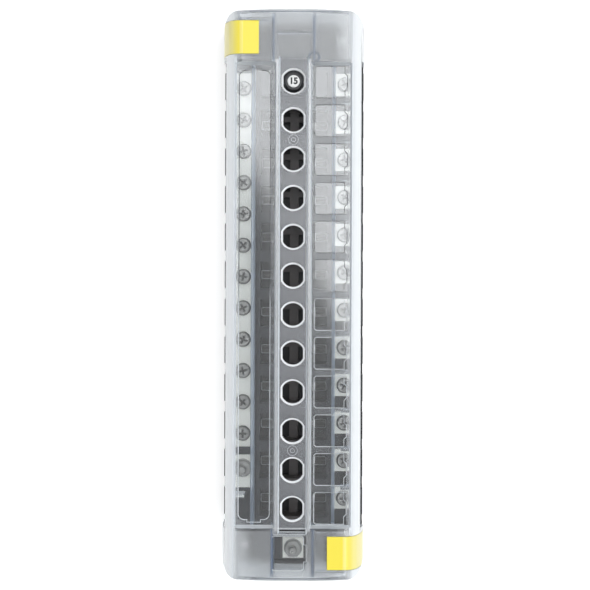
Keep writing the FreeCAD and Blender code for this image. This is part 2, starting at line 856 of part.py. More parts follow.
def clip():
    """A female blade clip seen from its end: a foot and two sprung leaves that pinch the blade."""
    grip = blade_thickness / 2 + clip_grip
    foot = supply_height + clip_metal
    pinch = clip_height - clip_flare
    right = [(clip_mouth, clip_height, 0), (grip, pinch, 0), (grip, pinch - clip_pinch, 0),
             (clip_half_width, foot + clip_pinch, 0), (clip_half_width, foot, 0)]
    left = [(-u, v, radius) for u, v, radius in reversed(right)]
    leaves = strip(right + left, clip_metal, front)
    leaves.translate(V(-clip_width / 2, 0, 0))
    return leaves.extrude(V(clip_width, 0, 0))


def load_terminal():
    """A load terminal: screw plate, folded leg and blade clip in one piece of tinned brass."""
    half = plate_width / 2
    plate = box(bus_inner, bus_inner + bus_width, -half + screw_shift, half + screw_shift,
                ledge_height, metal_top)
    path = [(blade_x - clip_width / 2, floor_thickness, 0), (leg_outer, floor_thickness, 0),
            (leg_outer, metal_top, 0)]
    leg = strip(path, sheet, side)
    leg.translate(V(0, -leg_width / 2, 0))
    leg = leg.extrude(V(0, leg_width, 0))
    grip = clip()
    grip.translate(V(blade_x, 0, 0))
    hole = shank(screw_shank_diameter, ledge_height, metal_top, screw_x, screw_shift)
    return plate.fuse([leg, grip]).cut(hole).removeSplitter()


def pan_screw():
    """A pan head machine screw standing at the origin with its head on the plate."""
    head = screw_head_diameter / 2
    taper = Part.makeCone(head, head - screw_head_taper, screw_head_height, V(0, 0, metal_top))
    return taper.fuse(shank(screw_shank_diameter, metal_top - screw_length, metal_top))


def screw_row(x, places):
    screws = []
    for y in places:
        screw = pan_screw()
        screw.translate(V(x, y, 0))
        screws.append(screw)
    return Part.makeCompound(screws)


def stud(x, y):
    """A stud with a round captive head under its plate."""
    head = rod(stud_head_diameter, ledge_height - stud_head_height, ledge_height, x, y)
    shank = turned([
        (0, ledge_height, 0), (stud_diameter / 2, ledge_height, 0),
        (stud_diameter / 2, ledge_height + stud_length - edge, 0),
        (stud_diameter / 2 - edge, ledge_height + stud_length, 0), (0, ledge_height + stud_length, 0),
    ], x, y)
    return head.fuse(shank).removeSplitter()


def washer(x, y):
    ring = rod(washer_diameter, metal_top, metal_top + washer_thickness, x, y)
    return ring.cut(rod(stud_diameter, metal_top, metal_top + washer_thickness, x, y))


def nut(x, y):
    """A hexagon nut with chamfered corners on top of its washer."""
    low = metal_top + washer_thickness
    corner = nut_across_flats / math.sqrt(3)
    points = [(corner * math.cos(math.radians(60 * i)), corner * math.sin(math.radians(60 * i)), 0)
              for i in range(6)]
    body = outline(points, lambda u, v: V(u, v, low)).extrude(V(0, 0, nut_height))
    dome = turned([
        (0, low, 0), (corner, low, 0), (corner, low + nut_height - nut_chamfer_height, 0),
        (corner - nut_chamfer_width, low + nut_height, 0), (0, low + nut_height, 0),
    ])
    body = body.common(dome).cut(rod(stud_diameter, low, low + nut_height))
    body.translate(V(x, y, 0))
    return body


def case_block(inset):
    """The breaker case as a rounded block, drawn in by inset."""
    x = case_half_length - inset
    y = case_half_width - inset
    radius = max(case_corner - inset, 0)
    return rounded_plate(-x, x, -y, y, radius, case_bottom + inset, case_top - inset)


def breaker_case(way):
    """One moulded half of the breaker case, joined to the other on the plane of its blades."""
    shelf = box(-shelf_half_length, shelf_half_length, -case_half_width, case_half_width,
                shelf_height - shelf_thickness, shelf_height)
    pillars = [cross_rod(rivet_boss_diameter, -case_half_width, case_half_width, x, z)
               for x, z in rivet_places()]
    hollow = case_block(case_wall).cut([shelf] + pillars)
    block = case_block(0).cut(hollow)
    holes = [cross_rod(rivet_diameter + 2 * rivet_gap, -case_half_width, case_half_width, x, z)
             for x, z in rivet_places()]
    holes.append(rod(bushing_neck, case_top - case_wall, case_top))
    holes.append(rod(stem_diameter + 2 * stem_gap, shelf_height - shelf_thickness, shelf_height))
    for x in (-blade_x, blade_x):
        half = blade_width / 2
        holes.append(box(x - half, x + half, -blade_thickness / 2, blade_thickness / 2,
                         case_bottom, contact_level))
    block = block.cut(holes)
    span = case_half_length
    keep = box(-span, span, 0, case_half_width, case_bottom, case_top)
    if way < 0:
        keep = box(-span, span, -case_half_width, 0, case_bottom, case_top)
    return block.common(keep)


def rivet_places():
    high = case_top - rivet_inset
    return [(-rivet_x, high), (rivet_x, high), (low_rivet_x, case_bottom + low_rivet_inset)]


def rivets():
    return Part.makeCompound([cross_rod(rivet_diameter, -case_half_width, case_half_width, x, z)
                              for x, z in rivet_places()])


def bushing():
    """The collar that guides the button and stands in the cover's hole."""
    bore = button_diameter / 2 + button_gap
    outer = bushing_diameter / 2
    flange = bushing_flange_diameter / 2
    return turned([
        (bore, case_top - case_wall, 0), (bushing_neck / 2, case_top - case_wall, 0),
        (bushing_neck / 2, case_top, 0), (flange, case_top, 0), (flange, case_top + bushing_flange, 0),
        (outer, case_top + bushing_flange, 0), (outer, bushing_top - edge, 0), (outer - edge, bushing_top, 0),
        (bore, bushing_top, 0),
    ])


def reset_button():
    """The push-to-reset button: round cap, stop flange and stem, pressed in at rest."""
    flange_top = case_top - case_wall - travel_gap - button_travel
    flange_low = flange_top - button_flange
    cap = button_diameter / 2
    stem = stem_diameter / 2
    low = shelf_height - shelf_thickness - travel_gap
    return turned([
        (0, low, 0), (stem, low, 0), (stem, flange_low, 0), (button_flange_diameter / 2, flange_low, 0),
        (button_flange_diameter / 2, flange_top, 0), (cap, flange_top, 0),
        (cap, bushing_top + button_proud - edge, 0), (cap - edge, bushing_top + button_proud, 0),
        (0, bushing_top + button_proud, 0),
    ])


def return_spring():
    """The coil spring that pops the button out, between the shelf and the button's flange."""
    low = shelf_height + spring_wire / 2
    high = case_top - case_wall - travel_gap - button_travel - button_flange - spring_wire / 2
    height = high - low
    radius = (spring_diameter - spring_wire) / 2
    helix = Part.makeLongHelix(height / spring_turns, height, radius)
    reach = spring_wire / 2
    corners = [V(radius - reach, 0, 0), V(radius, 0, reach), V(radius + reach, 0, 0), V(radius, 0, -reach)]
    profile = Part.makePolygon(corners + corners[:1])
    coil = Part.Wire(helix.Edges).makePipeShell([profile], True, True)
    coil.translate(V(0, 0, low))
    return coil


def blade_plate(points):
    """A flat blade stood on edge on the breaker's middle plane."""
    face = outline(points, side)
    face.translate(V(0, -blade_thickness / 2, 0))
    return face.extrude(V(0, blade_thickness, 0))


def line_blade():
    """The line blade with its arm and the fixed contact."""
    half = blade_width / 2
    low = case_bottom - blade_length
    blade = blade_plate([
        (-blade_x - half, low, blade_corner), (-blade_x + half, low, blade_corner),
        (-blade_x + half, arm_low, 0),
        (-contact_x + contact_diameter / 2, arm_low, 0), (-contact_x + contact_diameter / 2, arm_high, 0),
        (-blade_x - half, arm_high, arm_corner),
    ])
    return blade.fuse(rod(contact_diameter, arm_high, arm_high + contact_thickness, -contact_x)).removeSplitter()


def load_blade():
    """The load blade, which carries the bimetal strip on its top edge."""
    half = blade_width / 2
    low = case_bottom - blade_length
    return blade_plate([
        (blade_x - half, low, blade_corner), (blade_x + half, low, blade_corner),
        (blade_x + half, contact_level, 0), (blade_x - half, contact_level, 0),
    ])


def bimetal():
    """The bimetal strip with its moving contact, resting closed on the fixed contact."""
    half = bimetal_width / 2
    arm = rounded_plate(-contact_x - half, blade_x + bimetal_seat, -half, half, bimetal_corner,
                        contact_level, contact_level + bimetal_thickness)
    contact = rod(contact_diameter, contact_level - contact_thickness, contact_level, -contact_x)
    return arm.fuse(contact).removeSplitter()


def build_breaker():
    """The fitted breaker, moved to its position in the row."""
    pieces = {
        "breaker_case_upper": breaker_case(1),
        "breaker_case_lower": breaker_case(-1),
        "breaker_rivets": rivets(),
        "breaker_bushing": bushing(),
        "breaker_reset_button": reset_button(),
        "breaker_return_spring": return_spring(),
        "breaker_line_blade": line_blade(),
        "breaker_load_blade": load_blade(),
        "breaker_bimetal": bimetal(),
    }
    for name, shape in pieces.items():
        shape.translate(V(0, position_y(fitted_position), 0))
        write(name, shape)


def build_terminals():
    """Clips, load terminals and their screws, one set to each position."""
    for index in range(positions):
        number = "%02d" % (index + 1)
        terminal = load_terminal()
        terminal.translate(V(0, position_y(index), 0))
        write("load_terminal_" + number, terminal)
        grip = clip()
        grip.translate(V(-blade_x, position_y(index), 0))
        write("line_clip_" + number, grip)
    write("load_terminal_screws", screw_row(screw_x, [position_y(i) + screw_shift for i in range(positions)]))


def build_buses():
    """The two bus bars with their screws, studs, washers and nuts."""
    write("negative_bus_bar", negative_bus())
    write("negative_bus_screws", screw_row(-screw_x, [bus_screw_y(i) for i in range(bus_screws)]))
    write("positive_bus_bar", supply_bus())
    for name, x, y in (("negative", -screw_x, stud_y), ("positive", 0, main_stud_y)):
        write(name + "_stud", stud(x, y))
        write(name + "_stud_washer", washer(x, y))
        write(name + "_stud_nut", nut(x, y))


def build_housing():
    """Base, cover, latches and their pins."""
    write("base_moulding", base())
    write("cover", cover())
    strap = latch()
    write("latch_upper_left", strap)
    write("latch_lower_right", opposite(strap))
    write("latch_pin_upper_left", latch_pin())
    write("latch_pin_lower_right", opposite(latch_pin()))


os.makedirs("parts", exist_ok=True)
build_housing()
build_buses()
build_terminals()
build_breaker()
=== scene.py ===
import bmesh
import bpy
import math
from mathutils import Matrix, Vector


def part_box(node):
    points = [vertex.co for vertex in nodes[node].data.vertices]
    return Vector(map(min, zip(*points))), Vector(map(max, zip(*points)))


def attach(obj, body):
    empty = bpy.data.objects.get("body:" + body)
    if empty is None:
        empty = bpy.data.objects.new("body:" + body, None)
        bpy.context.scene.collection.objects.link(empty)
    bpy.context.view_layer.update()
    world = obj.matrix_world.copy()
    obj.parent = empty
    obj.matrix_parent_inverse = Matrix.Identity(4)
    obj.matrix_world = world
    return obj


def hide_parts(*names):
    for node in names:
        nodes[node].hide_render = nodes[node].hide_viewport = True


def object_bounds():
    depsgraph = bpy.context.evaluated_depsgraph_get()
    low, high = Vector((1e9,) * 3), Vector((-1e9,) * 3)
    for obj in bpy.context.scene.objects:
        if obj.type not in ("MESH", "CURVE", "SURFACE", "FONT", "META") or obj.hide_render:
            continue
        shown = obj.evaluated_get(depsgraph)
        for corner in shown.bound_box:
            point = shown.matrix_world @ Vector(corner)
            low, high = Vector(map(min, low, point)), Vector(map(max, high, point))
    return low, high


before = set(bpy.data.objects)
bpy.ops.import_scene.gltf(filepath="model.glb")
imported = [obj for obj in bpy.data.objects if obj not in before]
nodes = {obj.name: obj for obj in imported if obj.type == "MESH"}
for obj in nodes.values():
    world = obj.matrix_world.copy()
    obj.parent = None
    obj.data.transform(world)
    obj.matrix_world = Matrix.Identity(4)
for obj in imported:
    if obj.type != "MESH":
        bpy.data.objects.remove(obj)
cad_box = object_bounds()

# Metres, in the frame of the CAD model: X across the block, Y along it, Z out of its back.

# Breaker positions and the cover's face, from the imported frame
CLIP_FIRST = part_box("line_clip_01")
CLIP_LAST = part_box("line_clip_12")
POSITIONS = 12
FIRST_Y = (CLIP_FIRST[0].y + CLIP_FIRST[1].y) / 2
LAST_Y = (CLIP_LAST[0].y + CLIP_LAST[1].y) / 2
PITCH = (FIRST_Y - LAST_Y) / (POSITIONS - 1)
ROW_HALF = POSITIONS * PITCH / 2
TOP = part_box("cover")[1].z

# Windows in the label panels, which are polished where the rest of the cover is frosted
WINDOW_X = (0.0126, 0.0318)
WINDOW_HALF = 0.0094
STRIP_X = (-0.0320, -0.0135)
STRIP_HALF = ROW_HALF - 0.0046
STUD_WINDOW_X = (-0.0120, 0.0083)
STUD_WINDOW_Y = (-ROW_HALF - 0.0246, -ROW_HALF - 0.0043)
FACE_DEPTH = 0.0065

# Forms of the cover: distances from its middle line, or depths below its top
PANEL_X = (0.0078, 0.0335)
PANEL_HALF = ROW_HALF + 0.0015
LANE_X = (0.0088, 0.0106)
HOLE_REACH = 0.0078
HOLE_DEPTH = 0.0030
HOLE_CHAMFER_TILT = (0.4, 0.95)
END_RIB_X = (0.0108, 0.0132)
BARRIER_X = (0.0227, 0.0251)
RIB_DEPTH = 0.0025
EDGES_X = ((0.0068, 0.0088), (0.0102, 0.0120), (0.0330, 0.0352))
RAIL_DEPTH = 0.0050
RAIL_TILT = 0.97
RIB_REACH_X = 0.0345
RIB_REACH_Y = 0.1640

# The cover's plastic: how sharp its frost is, how milky each part of it looks, and its colours
POLYCARBONATE_IOR = 1.585
PANEL_POLISH = 0.6
FROST_ROUGHNESS = (0.05, 0.26)
WINDOW_GLOSS = (0.12, 0.75)
SLOPE_LEVEL = (0.985, 0.80)
WALL_LEVEL = (0.30, 0.10)
STEEP_LEVEL = (0.30, 0.08)
OUTWARD_X = (0.024, 0.040)
MILK_FROST = 0.08
MILK_OUTWARD = 0.40
# On slopes the milk is partly heavier frost and partly a painted reflection of the side light
MILK_AND_REFLECTION_SLOPE = 0.55
MILK_LANE = 0.30
MILK_STEEP = -0.45
FACE_TINT = (0.93, 0.95, 0.97)
PLATE_TINT = (0.66, 0.68, 0.72)
SLOPE_TINT = (0.88, 0.91, 0.93)
# Painted light: a blue colour on the inner walls for the light seen along them
WALL_PAINTED_LIGHT = (0.66, 0.76, 0.90)
SHADOW_TINT = (0.9, 0.92, 0.93)

# Lines along the steps of the windows, in painted light: a dark line by the upper windows, a pale
# highlight by the lower ones
LINE_STEP = (0.0005, 0.0007)
LINE_RADIUS = 0.00027
LINE_TURN_Y = PITCH * 0.3
LINE_PAINTED_SHADE = (0.11, 0.115, 0.12)
LINE_PAINTED_HIGHLIGHT = (0.86, 0.88, 0.90)

# Rings on the plate, the frame of the slot below it, and the end ribs' upper edges
MARK_Y = ROW_HALF - 2 * PITCH
MARK_RADII = (0.0012, 0.0029)
MARK_LINE = 0.00016
END_SLOT_X = (-0.0112, 0.0082)
END_SLOT_Y = (-0.1405, -0.1368)
END_SLOT_CORNER = 0.0008
END_RIB = sum(END_RIB_X) / 2
RIB_LINE = 0.0006
RIB_LINE_COVER = 0.0001
RIB_LINE_Y = (ROW_HALF + 0.0012, 0.1632)

# Blade slots in the floor of each socket
BLADE_X = abs(CLIP_FIRST[0].x + CLIP_FIRST[1].x) / 2
BLADE_SLOT = (0.0071, 0.0045)
SLOT_RIM = 0.0003
SLOT_CORNER = 0.0009
SOCKET_FLOOR = 0.0120

# Painted highlight: a pale band down each latch, where its top turns into the shoulder
LATCH_SHEEN_BAND = (0.0298, 0.0318)
LATCH_TURN = (1.0, 0.75)
LATCH_YELLOW = (0.96, 0.80, 0.06)
LATCH_PAINTED_HIGHLIGHT = (0.95, 0.86, 0.34)

# Painted shade deep in the sockets: metal and plastic there darken with depth, and the rest bars
# under the holes get a lighter brown, their tone with a painted sheen
METAL_SHADE_DEPTH = (0.010, 0.017)
METAL_PAINTED_SHADE = 0.22
SOCKET_DEPTH = (0.0125, 0.0165)
SOCKET_SHADE = 0.12
BAR_BROWN_AND_SHEEN = (0.066, 0.058, 0.055)

# Pan-head screws with a cross recess
HEAD_RADIUS = 0.0046
HEAD_HEIGHT = 0.0032
SHANK_RADIUS = 0.00205
RECESS_REACH = 0.0027
RECESS_HALF = 0.00062
RECESS_DEPTH = 0.0015
RECESS_TAPER = 0.7
SCREW_SPACING = 0.004
SCREW_TURN = 0.9

# The number on the button
NUMBER_SIZE = 0.0052
NUMBER_WEIGHT = 0.00022
NUMBER_THICKNESS = 0.00002
NUMBER_SPACING = 0.95

# The photograph: the camera stands over a point right of and above the middle
CAMERA_X = 0.0162
CAMERA_Y = 0.0260
CAMERA_ABOVE_FACE = 0.800
FACE_Z = 0.050
FACE_WIDTH_IN_VIEW = 0.34663
SHIFT_X = -0.0434
SHIFT_Y = -0.0746
ROLL = math.radians(0.2)
SENSOR = 36.0

# The studio: an even fill from the whole room, and a soft bank overhead
FILL = 0.45
BANK = 2.7
BANK_EDGE = (-0.037, -0.013)
BANK_SKEW = 1.77
BANK_FAR = (0.75, 0.45)
BANK_SIDE = (0.75, 0.35)
HORIZON = (0.12, 0.30)
ROOM_TINT = (0.97, 0.985, 1.0)
FLOOR_GREY = 0.70
FLOOR_GLOW = 0.60
FLOOR_REACH = 3.0
FLOOR_GAP = 0.0002


# Node helpers

def new_material(name):
    material = bpy.data.materials.new(name)
    material.use_nodes = True
    tree = material.node_tree
    tree.nodes.clear()
    output = tree.nodes.new("ShaderNodeOutputMaterial")
    return material, tree, output


def link(tree, source, target):
    tree.links.new(source, target)


def principled(tree, color, roughness, metallic=0.0, **inputs):
    shader = tree.nodes.new("ShaderNodeBsdfPrincipled")
    shader.inputs["Base Color"].default_value = (*color, 1)
    shader.inputs["Roughness"].default_value = roughness
    shader.inputs["Metallic"].default_value = metallic
    for name, value in inputs.items():
        shader.inputs[name.replace("_", " ")].default_value = value
    return shader


def math_node(tree, operation, *values, clamp=False):
    node = tree.nodes.new("ShaderNodeMath")
    node.operation = operation
    node.use_clamp = clamp
    for index, value in enumerate(values):
        if isinstance(value, (int, float)):
            node.inputs[index].default_value = value
        else:
            link(tree, value, node.inputs[index])
    return node.outputs[0]


def multiply(tree, first, second):
    return math_node(tree, "MULTIPLY", first, second)


def place_axes(tree):
    """The place of a point in the frame, as a vector and as its three parts."""
    coordinates = tree.nodes.new("ShaderNodeTexCoord")
    axes = tree.nodes.new("ShaderNodeSeparateXYZ")
    link(tree, coordinates.outputs["Object"], axes.inputs[0])
    return coordinates.outputs["Object"], axes.outputs


def noise(tree, vector, scale, detail=3.0, stretch=None):
    if stretch:
        mapping = tree.nodes.new("ShaderNodeMapping")
        mapping.inputs["Scale"].default_value = stretch
        link(tree, vector, mapping.inputs["Vector"])
        vector = mapping.outputs["Vector"]
    texture = tree.nodes.new("ShaderNodeTexNoise")
    texture.inputs["Scale"].default_value = scale
    texture.inputs["Detail"].default_value = detail
    link(tree, vector, texture.inputs["Vector"])
    return texture.outputs["Fac"]


def remap(tree, value, low, high, to_low, to_high):
    node = tree.nodes.new("ShaderNodeMapRange")
    node.inputs["From Min"].default_value = low
    node.inputs["From Max"].default_value = high
    node.inputs["To Min"].default_value = to_low
    node.inputs["To Max"].default_value = to_high
    link(tree, value, node.inputs["Value"])
    return node.outputs["Result"]


def smooth_range(tree, value, low, high):
    """0 at low and 1 at high, with a soft start and end."""
    node = tree.nodes.new("ShaderNodeMapRange")
    node.interpolation_type = "SMOOTHSTEP"
    node.inputs["From Min"].default_value = low
    node.inputs["From Max"].default_value = high
    link(tree, value, node.inputs["Value"])
    return node.outputs["Result"]


def mix_color(tree, factor, first, second):
    node = tree.nodes.new("ShaderNodeMix")
    node.data_type = "RGBA"
    link(tree, factor, node.inputs["Factor"])
    for name, value in (("A", first), ("B", second)):
        if isinstance(value, tuple):
            node.inputs[name].default_value = (*value, 1)
        else:
            link(tree, value, node.inputs[name])
    return node.outputs["Result"]


def rounded_normal(tree, radius):
    """Softens the look of every sharp edge, as a moulding tool does."""
    bevel = tree.nodes.new("ShaderNodeBevel")
    bevel.samples = 4
    bevel.inputs["Radius"].default_value = radius
    return bevel.outputs["Normal"]


def bump(tree, height, strength, distance, normal=None):
    node = tree.nodes.new("ShaderNodeBump")
    node.inputs["Strength"].default_value = strength
    node.inputs["Distance"].default_value = distance
    link(tree, height, node.inputs["Height"])
    if normal:
        link(tree, normal, node.inputs["Normal"])
    return node.outputs["Normal"]


def between(tree, value, low, high):
    """1 where value lies between low and high, else 0."""
    return math_node(tree, "COMPARE", value, (low + high) / 2, (high - low) / 2)


def normal_z(tree):
    """How far a face looks up: 1 for a level face, 0 for a wall."""
    geometry = tree.nodes.new("ShaderNodeNewGeometry")
    parts = tree.nodes.new("ShaderNodeSeparateXYZ")
    link(tree, geometry.outputs["Normal"], parts.inputs[0])
    return parts.outputs[2]


def clear_to_shadows(tree, shader, output, tint=(1, 1, 1)):
    """Lets the light that falls through a clear wall reach what lies behind it."""
    through = tree.nodes.new("ShaderNodeBsdfTransparent")
    through.inputs["Color"].default_value = (*tint, 1)
    path = tree.nodes.new("ShaderNodeLightPath")
    mix = tree.nodes.new("ShaderNodeMixShader")
    link(tree, path.outputs["Is Shadow Ray"], mix.inputs[0])
    link(tree, shader.outputs[0], mix.inputs[1])
    link(tree, through.outputs[0], mix.inputs[2])
    link(tree, mix.outputs[0], output.inputs[0])


# Materials

def plastic(name, color, roughness, grain=0.0, depth_shade=False, **inputs):
    """A moulded plastic: fine grain, a slight unevenness of gloss, soft edges."""
    spread = 0.06
    material, tree, output = new_material(name)
    place, axes = place_axes(tree)
    shader = principled(tree, color, roughness, **inputs)
    gloss = noise(tree, place, 90)
    link(tree, remap(tree, gloss, 0.3, 0.7, roughness - spread, roughness + spread),
         shader.inputs["Roughness"])
    if depth_shade:
        # Painted shade: the colour darkens deep in the sockets
        deep = remap(tree, axes[2], *SOCKET_DEPTH, 1, 0)
        shade = tuple(SOCKET_SHADE * channel for channel in color)
        # The rest bars under the holes: their brownish tone with a painted sheen, lighter than the
        # base
        bar = between(tree, math_node(tree, "ABSOLUTE", axes[0]), 0, HOLE_REACH)
        level = mix_color(tree, bar, color, BAR_BROWN_AND_SHEEN)
        link(tree, mix_color(tree, deep, level, shade), shader.inputs["Base Color"])
    normal = rounded_normal(tree, 0.00025)
    if grain:
        normal = bump(tree, noise(tree, place, 2600, 2), grain, 0.00005, normal)
    link(tree, normal, shader.inputs["Normal"])
    link(tree, shader.outputs[0], output.inputs[0])
    return material


def metal(name, color, roughness, stretch, metallic=1.0):
    """A plated metal with faint drawing lines and a mottled gloss."""
    material, tree, output = new_material(name)
    place, axes = place_axes(tree)
    shader = principled(tree, color, roughness, metallic)
    lines = noise(tree, place, 500, 4, stretch)
    mottle = noise(tree, place, 120, 3)
    link(tree, remap(tree, mottle, 0.3, 0.7, roughness - 0.08, roughness + 0.1),
         shader.inputs["Roughness"])
    normal = rounded_normal(tree, 0.00015)
    link(tree, bump(tree, lines, 0.12, 0.00004, normal), shader.inputs["Normal"])
    # Painted shade: the colour darkens towards the depth of the base
    deep_shade = remap(tree, axes[2], *METAL_SHADE_DEPTH, 1, 0)
    shade = tuple(METAL_PAINTED_SHADE * channel for channel in color)
    link(tree, mix_color(tree, deep_shade, color, shade), shader.inputs["Base Color"])
    link(tree, shader.outputs[0], output.inputs[0])
    return material


def window_mask(tree, axes):
    """1 in the polished windows of the cover's face, 0 on its frosted parts."""
    x, y, z = axes
    shifted = math_node(tree, "SUBTRACT", y, FIRST_Y % PITCH)
    local = math_node(tree, "WRAP", shifted, PITCH / 2, -PITCH / 2)
    right = multiply(tree, between(tree, x, *WINDOW_X),
                     between(tree, local, -WINDOW_HALF, WINDOW_HALF))
    right = multiply(tree, right, between(tree, y, -ROW_HALF, ROW_HALF))
    left = multiply(tree, between(tree, x, *STRIP_X), between(tree, y, -STRIP_HALF, STRIP_HALF))
    low = multiply(tree, between(tree, x, *STUD_WINDOW_X), between(tree, y, *STUD_WINDOW_Y))
    total = math_node(tree, "ADD", math_node(tree, "ADD", right, left), low, clamp=True)
    return multiply(tree, total, math_node(tree, "GREATER_THAN", z, TOP - FACE_DEPTH))


def clear_cover():
    """Clear polycarbonate: frosted but in the windows, and clear to the light falling through."""
    material, tree, output = new_material("cover_clear")
    axes = place_axes(tree)[1]
    mask = window_mask(tree, axes)
    across = math_node(tree, "ABSOLUTE", axes[0])
    along = math_node(tree, "ABSOLUTE", axes[1])
    level = math_node(tree, "ABSOLUTE", normal_z(tree))
    by_row = between(tree, along, 0, PANEL_HALF)
    unmasked = math_node(tree, "SUBTRACT", 1.0, mask)

    shader = principled(tree, FACE_TINT, 0.4, IOR=POLYCARBONATE_IOR, Specular_IOR_Level=1.0,
                        Coat_Weight=0.2, Coat_Roughness=0.08, Coat_IOR=1.7)
    link(tree, remap(tree, mask, 0, 1, *WINDOW_GLOSS), shader.inputs["Coat Weight"])
    panel = multiply(tree, between(tree, across, *PANEL_X), by_row)
    frost = math_node(tree, "SUBTRACT", 1.0, multiply(tree, panel, PANEL_POLISH))
    frost = multiply(tree, frost, unmasked)
    link(tree, remap(tree, frost, 0, 1, *FROST_ROUGHNESS), shader.inputs["Roughness"])

    # Slopes are milkier and paler: partly heavier frost, partly a painted reflection
    slope = remap(tree, level, *SLOPE_LEVEL, 0, 1)
    inside = multiply(tree, between(tree, across, 0, RIB_REACH_X),
                      between(tree, along, 0, RIB_REACH_Y))
    # Painted light: the inner walls take a blue colour
    wall = multiply(tree, remap(tree, level, *WALL_LEVEL, 0, 1), inside)
    plate = multiply(tree, between(tree, across, 0, PANEL_X[0]), by_row)
    flat = mix_color(tree, plate, FACE_TINT, PLATE_TINT)
    pale = mix_color(tree, slope, flat, SLOPE_TINT)
    link(tree, mix_color(tree, wall, pale, WALL_PAINTED_LIGHT), shader.inputs["Base Color"])

    outward = multiply(tree, frost, remap(tree, across, *OUTWARD_X, 0, 1))
    lane = multiply(tree, between(tree, across, *LANE_X), by_row)
    steep = remap(tree, level, *STEEP_LEVEL, 0, 1)
    milk = math_node(tree, "MULTIPLY_ADD", outward, MILK_OUTWARD, multiply(tree, frost, MILK_FROST))
    milk = math_node(tree, "MULTIPLY_ADD", slope, MILK_AND_REFLECTION_SLOPE, milk)
    milk = math_node(tree, "MULTIPLY_ADD", lane, MILK_LANE, milk)
    milk = math_node(tree, "MULTIPLY_ADD", steep, MILK_STEEP, milk, clamp=True)
    milk = multiply(tree, milk, unmasked)
    link(tree, math_node(tree, "SUBTRACT", 1.0, milk), shader.inputs["Transmission Weight"])
    clear_to_shadows(tree, shader, output, SHADOW_TINT)
    return material


def tinted_wall(name, color, milk):
    """A clear wall seen along its height, with a painted colour for the light that runs down it."""
    material, tree, output = new_material(name)
    shader = principled(tree, color, 0.3, IOR=POLYCARBONATE_IOR, Transmission_Weight=1 - milk)
    clear_to_shadows(tree, shader, output)
    return material


def latch_yellow():
    """Glossy yellow, with a painted highlight: paler where it turns over the shoulder."""
    material, tree, output = new_material("latch_yellow")
    axes = place_axes(tree)[1]
    shader = principled(tree, LATCH_YELLOW, 0.3, Coat_Weight=0.2, Coat_Roughness=0.15)
    turn = remap(tree, normal_z(tree), *LATCH_TURN, 0, 1)
    band = between(tree, math_node(tree, "ABSOLUTE", axes[0]), *LATCH_SHEEN_BAND)
    pale = math_node(tree, "MAXIMUM", multiply(tree, turn, 0.8), multiply(tree, band, 0.45))
    link(tree, mix_color(tree, pale, LATCH_YELLOW, LATCH_PAINTED_HIGHLIGHT), shader.inputs["Base Color"])
    link(tree, rounded_normal(tree, 0.0003), shader.inputs["Normal"])
    link(tree, shader.outputs[0], output.inputs[0])
    return material


def window_line():
    """The step around a window, painted: dark against the bank's reflection, a pale highlight
    against the base.
    """
    material, tree, output = new_material("window_line")
    axes = place_axes(tree)[1]
    shader = principled(tree, LINE_PAINTED_HIGHLIGHT, 0.35)
    lower = remap(tree, axes[1], LINE_TURN_Y, -LINE_TURN_Y, 0, 1)
    link(tree, mix_color(tree, lower, LINE_PAINTED_SHADE, LINE_PAINTED_HIGHLIGHT), shader.inputs["Base Color"])
    link(tree, shader.outputs[0], output.inputs[0])
    return material


black = plastic("base_black", (0.017, 0.018, 0.0215), 0.42, 0.25, depth_shade=True,
                Specular_IOR_Level=0.35)
case_black = plastic("breaker_black", (0.010, 0.010, 0.011), 0.35, 0.1)
clear = clear_cover()
yellow = latch_yellow()
line_material = window_line()
# Painted light on the clear cover and in the sockets: white and pale rims for highlights, blue rib
# lines and barriers for the light along the walls, dark ribs for shade, pale rails for highlights
painted_rim_highlight_and_marks = plastic("hole_rim_highlight_and_marks", (0.93, 0.94, 0.95), 0.3)
painted_slot_highlight = plastic("slot_rim_highlight", (0.93, 0.94, 0.96), 0.4)
rib_painted_light = plastic("rib_painted_light", (0.15, 0.20, 0.30), 0.4)
rib_painted_shade = tinted_wall("end_rib", (0.10, 0.15, 0.23), 0.85)
rail_painted_highlight = tinted_wall("rail_edge_highlight", (0.90, 0.94, 0.98), 0.85)
barrier_painted_light = tinted_wall("barrier", (0.62, 0.71, 0.83), 0.30)
white = plastic("button_white", (0.84, 0.84, 0.83), 0.4)
ink = plastic("button_ink", (0.02, 0.02, 0.022), 0.5)
tin = metal("tinned_metal", (0.96, 0.94, 0.86), 0.5, (1, 0.06, 1), metallic=0.35)
steel = metal("steel", (0.34, 0.33, 0.31), 0.32, (1, 1, 0.1), metallic=0.85)
# Painted shade for the screw recesses and the sides of the heads
recess_painted_shade = metal("screw_recess_painted_shade", (0.11, 0.105, 0.095), 0.5, (1, 1, 0.1), metallic=0.7)
grey_metal = metal("bushing_metal", (0.05, 0.05, 0.052), 0.32, (1, 1, 0.1))
brass = metal("brass", (0.78, 0.58, 0.28), 0.3, (1, 1, 0.1))

BY_SLOT = {
    "base_black": black, "cover_clear": clear, "latch_yellow": yellow, "tinned_metal": tin,
    "steel": steel, "breaker_black": case_black, "bushing_metal": grey_metal,
    "button_white": white, "brass": brass,
}


# Pieces

def own(obj, body, material):
    """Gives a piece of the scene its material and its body."""
    obj.data.materials.clear()
    obj.data.materials.append(material)
    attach(obj, body)
    return obj


def link_object(name, data):
    obj = bpy.data.objects.new(name, data)
    bpy.context.scene.collection.objects.link(obj)
    return obj


